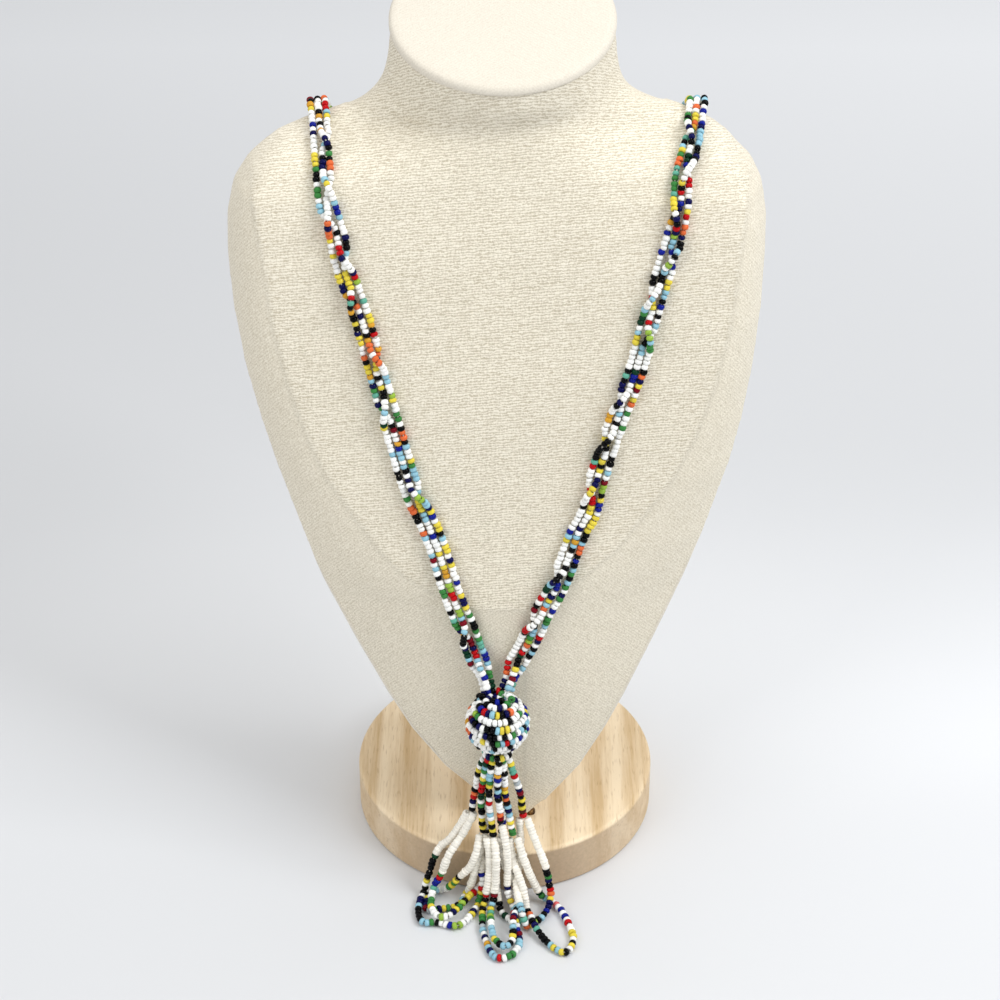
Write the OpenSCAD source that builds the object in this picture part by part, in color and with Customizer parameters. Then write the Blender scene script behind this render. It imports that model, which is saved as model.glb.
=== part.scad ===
// Beaded tassel necklace on a linen neck bust with a round wooden base.
// X runs to the viewer's right, the chest faces -Y, Z is up from the underside of the base.

/* [Base] */
// diameter of the wooden base
base_d = 120; // [100:1:150]
// thickness of the base
base_h = 20; // [12:1:30]
// radius of the base's rounded edges
base_edge = 1.6; // [0.5:0.1:4]

/* [Post] */
// diameter of the hidden wooden post
post_d = 16; // [10:0.5:20]
// distance of the post's axis behind the base's centre
post_back = 8; // [4:0.5:14]
// depth of the post's seat in the base
post_seat = 12; // [6:0.5:16]
// height of the post's top over the table
post_top = 236; // [215:1:245]
// chamfer at the post's ends
post_chamfer = 1; // [0.5:0.1:2]
// clearance around the post and at its ends
post_gap = 0.3; // [0.1:0.05:0.5]

/* [Tip stud] */
// diameter of the metal stud beside the bust's tip
stud_d = 4.2; // [3:0.2:6]
// height of the stud
stud_h = 2.2; // [1.5:0.1:3]
// place of the stud to the right of the base's centre
stud_side = 10; // [9.6:0.1:14]
// place of the stud in front of the base's centre
stud_front = 35.6; // [30:0.1:40]

/* [Neck bust] */
// widest part of the bust, at the shoulders
bust_w = 194; // [175:1:215]
// height of the bust's body from its tip to the foot of the neck cap
bust_h = 307; // [280:1:330]
// height of the middle of the neck cap over its foot
cap_rise = 3.5; // [2:0.5:6]
// depth of the bust from the chest to the back of the neck
bust_t = 116; // [105:1:130]
// gap between the bust's tip and the top of the base
tip_gap = 1.5; // [0.5:0.1:3]
// distance of the chest's front plane before the base's centre
chest_front = 43; // [38:0.5:46]
// diameter of the neck cap
neck_d = 80; // [70:1:90]
// distance of the neck's axis behind the base's centre
neck_back = 33; // [28:0.5:38]
// forward tilt of the neck cap, degrees
neck_tilt = 14; // [8:1:18]
// height of the fabric rim around the neck cap
rim_h = 3.6; // [2:0.1:6]
// depth of the crease under the rim
rim_groove = 1; // [0.3:0.1:2]

/* [Bead strings] */
// diameter of a necklace bead
bead_d = 2.8; // [2.4:0.1:3]
// distance between neighbouring strings of the plait
lane = 3.1; // [3:0.05:3.6]
// height of a string that passes over another, from axis to axis
lift = 3.1; // [2.9:0.05:3.4]

/* [Beaded ball] */
// diameter of the beaded ball
ball_d = 24.7; // [20:0.1:28]
// rows of beads around the ball
ball_rows = 12; // [8:1:14]
// diameter of the thread hole through the ball
ball_bore = 3.2; // [2:0.1:4]
// clearance between the ball and the chest
ball_gap = 0.3; // [0.1:0.1:1]
// height of the ball's centre over the bust's tip
ball_up = 61; // [57:0.5:66]
// place of the ball to the left of the base's centre
ball_left = 3; // [0:0.5:8]

/* [Tassel] */
// diameter of a tassel bead
tassel_bead_d = 2.6; // [2.2:0.1:3]
// gap between two legs where they leave their stem
leg_gap = 0.2; // [0.1:0.05:0.6]
// thickness of the bead where a stem parts into its legs
parting_d = 3; // [2.8:0.1:4]
// diameter of the knot that gathers the tassel under the ball
knot_d = 12; // [10:0.5:14]
// height of that knot
knot_h = 3; // [2:0.5:5]
// gap between the knot and the ball
knot_gap = 0.3; // [0.1:0.1:1]

/* [Hidden] */

linen = [0.88, 0.84, 0.76];
beech = [0.83, 0.71, 0.55];
brass = [0.36, 0.27, 0.15];
white_bead = [0.93, 0.92, 0.88];
blue_bead = [0.2, 0.3, 0.6];
mixed_bead = [0.75, 0.7, 0.5];
ivory_bead = [0.92, 0.9, 0.84];

tip_z = base_h + tip_gap;
// the neck's axis stands this far left of the base's centre
neck_left = 1;
fine = 96;

// columns of the chest's sections: rise is a share of bust_h, left to crease_r are shares of half of bust_w,
// front to back are shares of bust_t behind the chest's front plane, box is how square the back is
rise = 0;
left = 1;
right = 2;
crease_l = 3;
crease_r = 4;
front = 5;
roll = 6;
side = 7;
back = 8;
neckness = 9;
box = 10;
chest = [
    [0.000,  0.044, 0.069,  0.046, 0.067, 0.009, 0.009, 0.022, 0.052, 0.00, 3.5],
    [0.028, -0.070, 0.167,  0.026, 0.067, 0.004, 0.004, 0.034, 0.078, 0.00, 3.5],
    [0.080, -0.249, 0.305, -0.012, 0.071, 0.000, 0.000, 0.056, 0.112, 0.00, 3.5],
    [0.138, -0.381, 0.405, -0.038, 0.065, 0.000, 0.000, 0.071, 0.155, 0.00, 3.5],
    [0.190, -0.469, 0.480, -0.062, 0.062, 0.000, 0.000, 0.082, 0.190, 0.00, 3.5],
    [0.268, -0.588, 0.581, -0.081, 0.063, 0.003, 0.003, 0.103, 0.250, 0.00, 3.5],
    [0.327, -0.672, 0.656, -0.105, 0.070, 0.007, 0.007, 0.122, 0.284, 0.00, 3.5],
    [0.337, -0.687, 0.668, -0.113, 0.082, 0.008, 0.008, 0.126, 0.293, 0.00, 3.5],
    [0.356, -0.713, 0.692, -0.268, 0.186, 0.017, 0.017, 0.132, 0.307, 0.00, 3.5],
    [0.382, -0.744, 0.723, -0.392, 0.309, 0.030, 0.030, 0.141, 0.324, 0.00, 3.5],
    [0.418, -0.781, 0.766, -0.498, 0.431, 0.048, 0.048, 0.155, 0.348, 0.00, 3.5],
    [0.509, -0.878, 0.858, -0.680, 0.639, 0.093, 0.093, 0.205, 0.410, 0.00, 3.3],
    [0.565, -0.930, 0.900, -0.753, 0.722, 0.121, 0.121, 0.240, 0.447, 0.00, 3.2],
    [0.626, -0.979, 0.932, -0.814, 0.788, 0.153, 0.153, 0.279, 0.495, 0.00, 3.1],
    [0.698, -1.016, 0.955, -0.866, 0.837, 0.195, 0.195, 0.326, 0.557, 0.00, 2.9],
    [0.760, -1.033, 0.965, -0.892, 0.856, 0.231, 0.233, 0.383, 0.614, 0.00, 2.7],
    [0.802, -1.031, 0.966, -0.904, 0.862, 0.260, 0.266, 0.428, 0.657, 0.00, 2.5],
    [0.838, -1.005, 0.946, -0.907, 0.856, 0.290, 0.302, 0.472, 0.700, 0.00, 2.1],
    [0.861, -0.953, 0.907, -0.872, 0.831, 0.308, 0.345, 0.500, 0.729, 0.00, 1.9],
    [0.874, -0.905, 0.860, -0.825, 0.790, 0.320, 0.383, 0.517, 0.750, 0.02, 1.6],
    [0.887, -0.845, 0.821, -0.773, 0.748, 0.333, 0.452, 0.538, 0.774, 0.06, 1.4],
    [0.900, -0.738, 0.757, -0.660, 0.680, 0.347, 0.526, 0.560, 0.802, 0.15, 1.2],
    [0.910, -0.619, 0.670, -0.536, 0.588, 0.359, 0.578, 0.579, 0.828, 0.30, 1.2],
];

// columns of the neck's sections: rise is a share of bust_h, the rest are shares of half of neck_d
// about the neck's axis, and lean is the share of the cap's tilt
neck_l = 1;
neck_r = 2;
neck_f = 3;
neck_s = 4;
neck_b = 5;
lean = 6;
neck = [
    [0.919, -1.22, 1.18, -0.84, -0.16, 0.59, 0.08],
    [0.932, -1.09, 1.08, -0.87, -0.09, 0.75, 0.25],
    [0.949, -1.05, 1.04, -0.93, -0.04, 0.91, 0.55],
    [0.968, -1.02, 1.02, -0.98, -0.01, 0.98, 0.90],
];

// columns of the rim's rings: drop under the cap as a share of rim_h, and the step inwards as a
// share of rim_groove
drop = 0;
inset = 1;
rim = [
    [1.15, 0.3],
    [1.05, 1.0],
    [0.95, 0.9],
    [0.85, 0.0],
    [0.30, 0.0],
    [0.08, 0.5],
    [0.00, 1.6],
];

// how much of the panel, from the middle out, stays with the front column before it rolls back
// with the roll column
panel_flat = 0.3;
panel_roll = 0.5;
// steps of one section: along each bevel, across the panel, around the back
bevel_steps = 4;
panel_steps = 10;
back_steps = 18;
front_steps = 2 * bevel_steps + panel_steps;
// the bevel leaves the panel at this share of its chord's slope
bevel_start = 0.35;

function mix(a, b, t) = a + (b - a) * t;
function clamp(v) = max(0, min(1, v));
function ease(v) = clamp(v) * clamp(v) * (3 - 2 * clamp(v));
function power(v, e) = sign(v) * pow(abs(v), e);
function bevel(u) = bevel_start * u + (1 - bevel_start) * u * u * u;

// the panel's depth at a share v of the way from its middle to its crease
function panel(row, v) = mix(row[front], row[roll], ease((abs(v) - panel_flat) / panel_roll));

// one point of the chest's front, as shares, from the left seam at step 0 to the right seam
function chest_share(row, i) =
    i < bevel_steps ? let(u = 1 - i / bevel_steps)
        [mix(row[crease_l], row[left], u), mix(panel(row, 1), row[side], bevel(u))]
    : i > bevel_steps + panel_steps ? let(u = (i - bevel_steps - panel_steps) / bevel_steps)
        [mix(row[crease_r], row[right], u), mix(panel(row, 1), row[side], bevel(u))]
    : let(t = (i - bevel_steps) / panel_steps)
        [mix(row[crease_l], row[crease_r], t), panel(row, 2 * t - 1)];
function oval_share(row, i) = let(a = 180 * i / front_steps)
    [mix(row[left], row[right], (1 - cos(a)) / 2), mix(row[side], row[front], sin(a))];
function back_share(row, j) = let(a = 180 * j / back_steps)
    [mix(row[left], row[right], (1 + power(cos(a), 2 / row[box])) / 2),
     mix(row[side], row[back], power(sin(a), 2 / row[box]))];

function chest_point(share, height) =
    [share.x * bust_w / 2, share.y * bust_t - chest_front, tip_z + height * bust_h];
function chest_ring(row) = concat(
    [for (i = [0:front_steps])
        chest_point(mix(chest_share(row, i), oval_share(row, i), row[neckness]), row[rise])],
    [for (j = [1:back_steps - 1]) chest_point(back_share(row, j), row[rise])]);

// a ring about the neck's axis that leans with the cap
function leaning(x, y, z, share) = [x - neck_left, y + neck_back, z + y * tan(neck_tilt) * share];
function neck_ring(row) = let(r = neck_d / 2, z = tip_z + row[rise] * bust_h) concat(
    [for (i = [0:front_steps]) let(a = 180 * i / front_steps)
        leaning(r * mix(row[neck_l], row[neck_r], (1 - cos(a)) / 2),
                r * mix(row[neck_s], row[neck_f], sin(a)), z, row[lean])],
    [for (j = [1:back_steps - 1]) let(a = 180 * j / back_steps)
        leaning(r * mix(row[neck_l], row[neck_r], (1 + cos(a)) / 2),
                r * mix(row[neck_s], row[neck_b], sin(a)), z, row[lean])]);
function rim_ring(row) = let(
        r = neck_d / 2 - row[inset] * rim_groove,
        z = tip_z + bust_h + cap_rise - row[drop] * rim_h) concat(
    [for (i = [0:front_steps]) let(a = 180 * i / front_steps) leaning(-r * cos(a), -r * sin(a), z, 1)],
    [for (j = [1:back_steps - 1]) let(a = 180 * j / back_steps) leaning(r * cos(a), r * sin(a), z, 1)]);

// closed solid through rings of equal length that run clockwise as seen from above
module loft(rings) {
    count = len(rings[0]);
    last = len(rings) - 1;
    polyhedron(
        points = [for (ring = rings) for (p = ring) p],
        faces = concat(
            [[for (i = [0:count - 1]) i]],
            [for (k = [0:last - 1]) for (i = [0:count - 1]) let(n = (i + 1) % count)
                each [[k * count + i, (k + 1) * count + i, (k + 1) * count + n],
                      [k * count + i, (k + 1) * count + n, k * count + n]]],
            [[for (i = [count - 1:-1:0]) last * count + i]]));
}

module neck_bust() {
    color(linen)
    difference() {
        loft(concat(
            [for (row = chest) chest_ring(row)],
            [for (row = neck) neck_ring(row)],
            [for (row = rim) rim_ring(row)]));
        translate([0, post_back, tip_z])
            cylinder(d = post_d + 2 * post_gap, h = post_top + post_gap - tip_z, $fn = fine);
    }
}

module base() {
    color(beech)
    difference() {
        rotate_extrude($fn = fine) {
            square([base_d / 2 - base_edge, base_h]);
            translate([0, base_edge]) square([base_d / 2, base_h - 2 * base_edge]);
            for (z = [base_edge, base_h - base_edge])
                translate([base_d / 2 - base_edge, z]) circle(r = base_edge, $fn = fine);
        }
        translate([0, post_back, base_h - post_seat])
            cylinder(d = post_d + 2 * post_gap, h = post_seat + base_edge, $fn = fine);
    }
}

module post() {
    color(beech)
    translate([0, post_back, base_h - post_seat])
        rotate_extrude($fn = fine)
            polygon([
                [0, 0],
                [post_d / 2 - post_chamfer, 0],
                [post_d / 2, post_chamfer],
                [post_d / 2, post_top - base_h + post_seat - post_chamfer],
                [post_d / 2 - post_chamfer, post_top - base_h + post_seat],
                [0, post_top - base_h + post_seat],
            ]);
}

// a low dome on a short cylinder
module tip_stud() {
    dome_h = stud_h / 2;
    dome_r = (stud_d * stud_d / 4 + dome_h * dome_h) / (2 * dome_h);
    color(brass)
    translate([stud_side, -stud_front, base_h])
    intersection() {
        cylinder(d = stud_d, h = stud_h, $fn = fine);
        translate([0, 0, stud_h - dome_r]) sphere(r = dome_r, $fn = fine);
    }
}

// the strings were laid out on a bust of this width, depth and height, with its chest's front plane and tip
// at this place, and round a ball and a base edge at these places, and they follow when any of them changes
laid_bust = [194, 116, 307];
laid_from = [0, -43, 21.5];
laid_ball = [-3, -55.65, 82.5];
laid_edge = [0, -60, 20];

// the necklace's middle line from the ball up the left of the chest, round the neck and down the right,
// with the way that the surface faces there: turn from the front towards the left, and tilt upwards
turn = 3;
tilt = 4;
laid_route = [
    [-6.5, -51.5, 95, 0, 12],
    [-8, -48, 99.5, 0, 8],
    [-10.5, -46, 105.5, -5, 4],
    [-13, -45.2, 113, -5, 2],
    [-16, -45, 123, -3, 2],
    [-19.5, -44.2, 133, 0, 8],
    [-25.5, -39.5, 153.5, 0, 11],
    [-30, -37, 165, 0, 11],
    [-34.5, -35, 175.5, 0, 11],
    [-40, -31.5, 196, 0, 11],
    [-45.5, -27, 217.5, 0, 12],
    [-51, -22.5, 239, 0, 13],
    [-57.5, -17.5, 259, 0, 16],
    [-59.5, -14.5, 270, 0, 20],
    [-62.5, -11, 279, 0, 26],
    [-64, -4, 289, 0, 48],
    [-65, 6, 295.5, 0, 62],
    [-66, 15, 300, 0, 68],
    [-67, 24, 303.4, 0, 85],
    [-67, 29, 300.3, -5, 115],
    [-66, 33, 295.5, -10, 140],
    [-62.5, 35.5, 290, -20, 160],
    [-56, 38, 287, -20, 185],
    [-45, 40.5, 285.5, -15, 200],
    [-25, 43, 285, -5, 206],
    [0, 43.8, 285, 0, 207],
    [25, 43, 285, 5, 206],
    [45, 40.5, 285.5, 15, 200],
    [57, 38, 287.5, 20, 185],
    [63.5, 35.5, 291, 20, 160],
    [67, 33, 296.5, 10, 140],
    [68, 29, 301, 5, 115],
    [68.3, 24, 303.6, 0, 85],
    [67, 15, 299.5, 0, 68],
    [65.5, 6, 295.5, 0, 62],
    [62, -6, 287, 0, 44],
    [61, -12, 276, 0, 24],
    [58, -16, 264, 0, 17],
    [52, -21.5, 242.5, 0, 13],
    [47, -26, 221.5, 0, 12],
    [40, -30.5, 201.5, 0, 11],
    [33.5, -34.5, 179.5, 0, 11],
    [31, -37, 167, 0, 11],
    [26.5, -39, 157.5, 0, 11],
    [19.5, -43, 137.5, 0, 9],
    [14, -44.8, 127, 3, 3],
    [11, -45, 118.5, 5, 2],
    [7.5, -45.3, 110, 5, 4],
    [4.5, -46, 104, 5, 6],
    [2.5, -48, 99.5, 0, 8],
    [0.5, -51.5, 95, 0, 12],
];
bust_size = [bust_w, bust_t, bust_h];
bust_from = [0, -chest_front, tip_z];
function worn(p) = concat(
    [for (i = [0:2]) bust_from[i] + (p[i] - laid_from[i]) * bust_size[i] / laid_bust[i]],
    [p[turn], p[tilt]]);
route = [for (p = laid_route) worn(p)];

// where one string of the plait passes over its neighbour: length along the route from the ball on
// the left, or with a minus sign back from the ball on the right, and the two strings
along = 0;
over = 1;
under = 2;
plait = [
    [25, 1, 0],
    [85, 2, 1],
    [119, 0, 2],
    [140, 1, 0],
    [163, 2, 1],
    [178, 0, 2],
    [193, 1, 0],
    [204, 2, 1],
    [222, 1, 2],
    [-228, 2, 1],
    [-212, 0, 2],
    [-196, 1, 0],
    [-181, 2, 1],
    [-166, 2, 0],
    [-151, 0, 1],
    [-126, 1, 2],
    [-109, 2, 1],
    [-89, 1, 2],
    [-52, 2, 1],
    [-31, 1, 2],
];
// places of the three strings at the ball on the left, in lanes from the left to the right
first_lanes = [0, -1, 1];
// half of the length over which two strings change places
swap_half = 3.5;
// the strings close up into a triangle over this length at the ball
bunch = 8;
bunch_end = 6;
bunch_lanes = 0.55;
bunch_lift = 1.03;
// farthest that two rings of a string lie apart
ring_step = 11;
string_sides = 8;

// share of a step of the list over which a string's direction is taken
nearby = 0.1;

function unit(v) = v / norm(v);
function spot(list, k) = let(p = list[max(0, min(len(list) - 1, k))]) [p.x, p.y, p.z];
function run(list) = [for (k = 0, s = 0; k < len(list);
    k = k + 1, s = s + norm(spot(list, k) - spot(list, k - 1))) s];
// a smooth curve through four neighbouring points
function smooth(a, b, c, d, t) =
    b + t * (c - a) / 2 + t * t * (2 * a - 5 * b + 4 * c - d) / 2 + t * t * t * (3 * b - a - 3 * c + d) / 2;
function at(list, u) = let(k = min(floor(u), len(list) - 2))
    smooth(spot(list, k - 1), spot(list, k), spot(list, k + 1), spot(list, k + 2), u - k);
function heading(list, u) = unit(at(list, min(u + nearby, len(list) - 1)) - at(list, max(u - nearby, 0)));
function facing(u) = let(k = min(floor(u), len(route) - 2), t = u - k,
        a = mix(route[k][turn], route[k + 1][turn], t), b = mix(route[k][tilt], route[k + 1][tilt], t))
    [-sin(a) * cos(b), -cos(a) * cos(b), sin(b)];

route_run = run(route);
route_len = route_run[len(route) - 1];
route_key = [for (k = [0:len(route) - 1]) [route_run[k], k]];

// length along the route of crossing n
function swap(n) = plait[n][along] + (plait[n][along] < 0 ? route_len : 0);

// lanes of the three strings after the first n crossings
function swapped(lanes, row) = [for (i = [0:2])
    i == row[over] ? lanes[row[under]] : i == row[under] ? lanes[row[over]] : lanes[i]];
function lanes_after(n) = n == 0 ? first_lanes : swapped(lanes_after(n - 1), plait[n - 1]);
plait_lanes = [for (n = [0:len(plait)]) lanes_after(n)];

// the rings' places along the route, each as [length, lanes, lifted string]
function fill(a, b) = let(n = ceil((b - a) / ring_step))
    n < 2 ? [] : [for (k = [1:n - 1]) mix(a, b, k / n)];
bunch_places = [0, bunch_end, bunch_end + bunch / 2, bunch_end + bunch];
stations = concat(
    [for (e = bunch_places) [e, plait_lanes[0], -1]],
    [for (n = [0:len(plait) - 1]) each concat(
        [for (s = fill(n == 0 ? bunch_end + bunch : swap(n - 1) + swap_half, swap(n) - swap_half))
            [s, plait_lanes[n], -1]],
        [[swap(n) - swap_half, plait_lanes[n], plait[n][over]],
         [swap(n) + swap_half, plait_lanes[n + 1], plait[n][over]]])],
    [for (s = fill(swap(len(plait) - 1) + swap_half, route_len - bunch_end - bunch))
        [s, plait_lanes[len(plait)], -1]],
    [for (k = [len(bunch_places) - 1:-1:0]) [route_len - bunch_places[k], plait_lanes[len(plait)], -1]]);

// near the ball the middle string first rises, and then the outer two close up under it
function bunched(s) = 2 * clamp((bunch_end + bunch - min(s, route_len - s)) / bunch);
function string_ring(station, who, r) = let(
        s = station[0],
        u = lookup(s, route_key),
        t = heading(route, u),
        n = unit(facing(u) - t * (facing(u) * t)),
        across = cross(t, n),
        place = station[1][who],
        b = bunched(s),
        high = max(station[2] == who ? 1 : 0, place == 0 ? clamp(b) * bunch_lift : 0),
        c = at(route, u) + across * place * lane * mix(1, bunch_lanes, clamp(b - 1)) + n * high * lift)
    [for (i = [0:string_sides - 1]) let(a = 360 * (i + 0.5) / string_sides)
        c + r * (cos(a) * n + sin(a) * across)];

module strand(who, shade) {
    color(shade) loft([for (st = stations) string_ring(st, who, bead_d / 2)]);
}

module strand_a() {
    strand(0, white_bead);
}

module strand_b() {
    strand(1, mixed_bead);
}

module strand_c() {
    strand(2, blue_bead);
}

ball_x = -ball_left;
ball_y = -chest_front - ball_gap - ball_d / 2;
ball_rise = tip_z + ball_up * bust_h / laid_bust.z;

// rows of beads bulge out of the ball's core
module bead_ball() {
    row_turn = 180 / ball_rows;
    core_r = ball_d / 2 - bead_d / 2;
    color(mixed_bead)
    translate([ball_x, ball_y, ball_rise])
    rotate_extrude($fn = fine)
    difference() {
        union() {
            circle(r = core_r, $fn = fine);
            for (k = [0:ball_rows - 1])
                rotate(90 - (k + 0.5) * row_turn) translate([core_r, 0]) circle(d = bead_d, $fn = fine);
        }
        translate([-ball_d, -ball_d]) square([ball_d + ball_bore / 2, 2 * ball_d]);
    }
}

// the tassel's strings: stems hang from the knot, and each loop string runs from a stem's end down
// an ivory leg, round a loop on the table and up the next leg
stems = [
    [[-7, -54.5, 68.5], [-10, -55.5, 64.5], [-11.5, -55.5, 59], [-12, -56, 49], [-13, -57, 39.5]],
    [[-6.5, -57.5, 68.5], [-8.5, -58.5, 65], [-9, -58.5, 60], [-9.5, -58.5, 51], [-9, -59, 38],
     [-8.5, -59.5, 30.5]],
    [[-4.5, -59.5, 68.5], [-6, -60.5, 64], [-6.5, -60.5, 58.5], [-6.5, -61, 52], [-6, -61.5, 44],
     [-4.5, -62.5, 31.5]],
    [[-1.5, -59.5, 68.5], [-2.5, -61, 64], [-3, -61.5, 57], [-2.5, -61.5, 49], [-1.5, -61.5, 37]],
    [[0.5, -57.5, 68.5], [0, -59, 63.5], [0.5, -59.5, 57], [0, -59.5, 52], [1, -60, 44],
     [3, -61.5, 30.5]],
    [[1, -54.5, 68.5], [3, -56, 63.5], [4.5, -57, 58], [6, -57, 50], [6.5, -57, 43], [7, -57.5, 37]],
    [[-1.5, -52, 68.5], [-1.5, -53.5, 62], [-1, -53.5, 50], [-1, -55.5, 36], [-1.5, -58.5, 27]],
    [[-4.5, -52, 68.5], [-7, -53, 62], [-8, -53, 48], [-7.5, -54.5, 36], [-7.5, -57.5, 28]],
];
// half of the width of each stem's last bead, in steps of leg_pitch
reach = [1, 1, 2, 0, 1, 1, 1, 1];
// columns of the joins, one row for each loop: the stem that it leaves and its leg place there,
// and the same where it ends
joins = [
    [0, -1, 7, -1],
    [0, 1, 7, 1],
    [1, -1, 1, 1],
    [2, -2, 3, 0],
    [2, 0, 6, -1],
    [2, 2, 6, 1],
    [4, 1, 4, -1],
    [5, 1, 5, -1],
];
loops = [
    [[-18, -56.5, 31], [-21.5, -57, 25], [-25, -57, 21.5], [-27.5, -59, 18], [-30.5, -61.5, 9],
     [-32, -62.5, 2.8],
     [-33.5, -68, 1.5], [-34, -74, 1.5], [-32, -79.5, 1.5], [-26.5, -79.5, 1.5], [-19, -81.5, 1.5],
     [-14, -76.5, 1.5], [-10.5, -69, 2], [-9, -65.5, 9], [-9.5, -62.5, 16]],
    [[-16.5, -59, 29.5], [-22, -63, 22], [-25, -64, 13], [-28, -64.5, 6.5], [-29, -69, 4.4],
     [-28, -76.5, 4.4],
     [-23.5, -79, 4.3], [-18.5, -74.5, 4.3], [-15, -69.5, 5.1], [-10.5, -64, 5.7], [-7.5, -61.5, 10],
     [-6.5, -62, 20]],
    [[-11, -64.5, 26], [-13.5, -65.5, 18.5], [-18, -65, 12], [-22, -63.5, 5.5], [-26, -61, 1.6],
     [-30, -65.5, 1.9],
     [-30.5, -72.5, 1.5], [-25.5, -72, 1.5], [-18.5, -70, 1.6], [-15.5, -64, 2], [-13, -65, 10],
     [-10.5, -63, 21.5]],
    [[-6, -66, 23.5], [-6.5, -69, 14], [-8, -71.5, 5.5], [-9, -76, 1.7], [-8, -87, 1.5], [-5, -97, 1.5],
     [0, -99, 1.5], [4.5, -94.5, 1.6], [5.5, -88, 1.6], [4, -82, 4.3], [3.5, -74, 3.6], [1, -69.5, 9],
     [1, -67, 19], [0.5, -66, 29]],
    [[-3.5, -68, 25], [-4, -70.5, 11], [-5.5, -75, 4.3], [-5.5, -83, 4.3], [-4, -91.5, 4.3], [0, -95.5, 4.4],
     [3, -91, 4.3], [3, -84.5, 7], [5, -73.5, 6.5], [4, -67, 9.5], [-0.5, -64, 19]],
    [[-4, -63.5, 21], [-3, -68, 8], [-1.5, -73.5, 2.2], [3, -79, 1.5], [7, -78, 1.7], [7, -71.5, 3.5],
     [4.5, -64.5, 7.5], [1.5, -62, 19]],
    [[6.5, -65, 25], [10, -66.5, 14], [14, -66.5, 4.5], [18, -67.5, 1.6], [22, -73, 1.5], [25.5, -83, 1.5],
     [26, -91, 1.5], [22.5, -96, 1.5], [16.5, -91, 1.6], [11.5, -83.5, 4], [8.5, -75, 5], [7, -71, 12],
     [3, -64.5, 21]],
    [[11, -60.5, 30], [15.5, -65, 19], [17, -65.5, 11], [18, -68.5, 5], [15.5, -75.5, 2.5], [9, -81.5, 1.6],
     [6.5, -80, 8], [4.5, -69, 11.5], [6, -60.5, 21]],
];
// the tassel hangs under the ball, and below this height it steps forward with the base's edge
clear_from = 48;
clear_over = 24;
function hung(p) = [
    p.x + ball_x - laid_ball.x,
    p.y + ball_y - laid_ball.y - (base_d / 2 + laid_edge.y) * ease((clear_from - p.z) / clear_over),
    p.z * ball_rise / laid_ball.z];
leg_pitch = (tassel_bead_d + leg_gap) / 2;
function leg_place(stem, place) = stems[stem][len(stems[stem]) - 1] + [place * leg_pitch, 0, 0];
function looped(k) = concat(
    [leg_place(joins[k][0], joins[k][1])], loops[k], [leg_place(joins[k][2], joins[k][3])]);
thread_step = 6;
thread_sides = 6;
knot_sides = 12;
end_sides = 8;
table_gap = 0.1;

// a direction square to the string is carried along it, so that the tube doesn't twist
function carried(ts) = [for (k = 0, n = unit(cross(ts[0], [1, 0, 0])); k < len(ts);
    k = k + 1, n = k < len(ts) ? unit(n - ts[k] * (n * ts[k])) : n) n];
// nothing of the tassel sinks into the table
function lying(p) = [p.x, p.y, max(p.z, tassel_bead_d / 2 + table_gap)];
module thread(list) {
    length = run(list);
    key = [for (k = [0:len(list) - 1]) [length[k], k]];
    n = ceil(length[len(list) - 1] / thread_step);
    us = [for (i = [0:n]) lookup(length[len(list) - 1] * i / n, key)];
    ts = [for (u = us) heading(list, u)];
    ns = carried(ts);
    loft([for (i = [0:n]) [for (j = [0:thread_sides - 1]) let(a = 360 * j / thread_sides)
        lying(at(list, us[i])) + tassel_bead_d / 2 * (cos(a) * ns[i] + sin(a) * cross(ts[i], ns[i]))]]);
}

// strings fused to the knot under the ball, with a bead where each stem parts into its legs
module tassel() {
    knot_top = ball_rise - ball_d / 2 - knot_gap;
    color(ivory_bead)
    union() {
        translate([ball_x, ball_y, knot_top - knot_h]) cylinder(d = knot_d, h = knot_h, $fn = knot_sides);
        for (k = [0:len(stems) - 1]) {
            thread([for (p = stems[k]) hung(p)]);
            hull()
                for (place = [-reach[k], reach[k]])
                    translate(hung(leg_place(k, place))) sphere(d = parting_d, $fn = end_sides);
        }
        for (k = [0:len(loops) - 1]) thread([for (p = looped(k)) hung(p)]);
    }
}

neck_bust();
base();
post();
tip_stud();
strand_a();
strand_b();
strand_c();
bead_ball();
tassel();
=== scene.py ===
import math

import bmesh
import bpy
import numpy as np
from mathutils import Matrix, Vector


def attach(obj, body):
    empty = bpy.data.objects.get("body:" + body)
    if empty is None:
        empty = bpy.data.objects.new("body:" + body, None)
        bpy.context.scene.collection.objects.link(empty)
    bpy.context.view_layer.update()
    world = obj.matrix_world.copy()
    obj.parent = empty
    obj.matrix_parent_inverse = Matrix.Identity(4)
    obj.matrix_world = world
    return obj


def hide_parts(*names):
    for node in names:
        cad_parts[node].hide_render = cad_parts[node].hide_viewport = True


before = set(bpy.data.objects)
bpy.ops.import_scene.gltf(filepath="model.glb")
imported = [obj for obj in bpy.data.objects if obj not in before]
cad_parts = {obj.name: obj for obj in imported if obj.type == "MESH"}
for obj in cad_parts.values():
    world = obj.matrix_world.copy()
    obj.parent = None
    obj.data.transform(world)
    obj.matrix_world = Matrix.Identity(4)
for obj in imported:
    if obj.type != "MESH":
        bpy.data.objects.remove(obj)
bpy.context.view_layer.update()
mm = 0.001
print("frame loaded")

# camera, table and light

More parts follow.
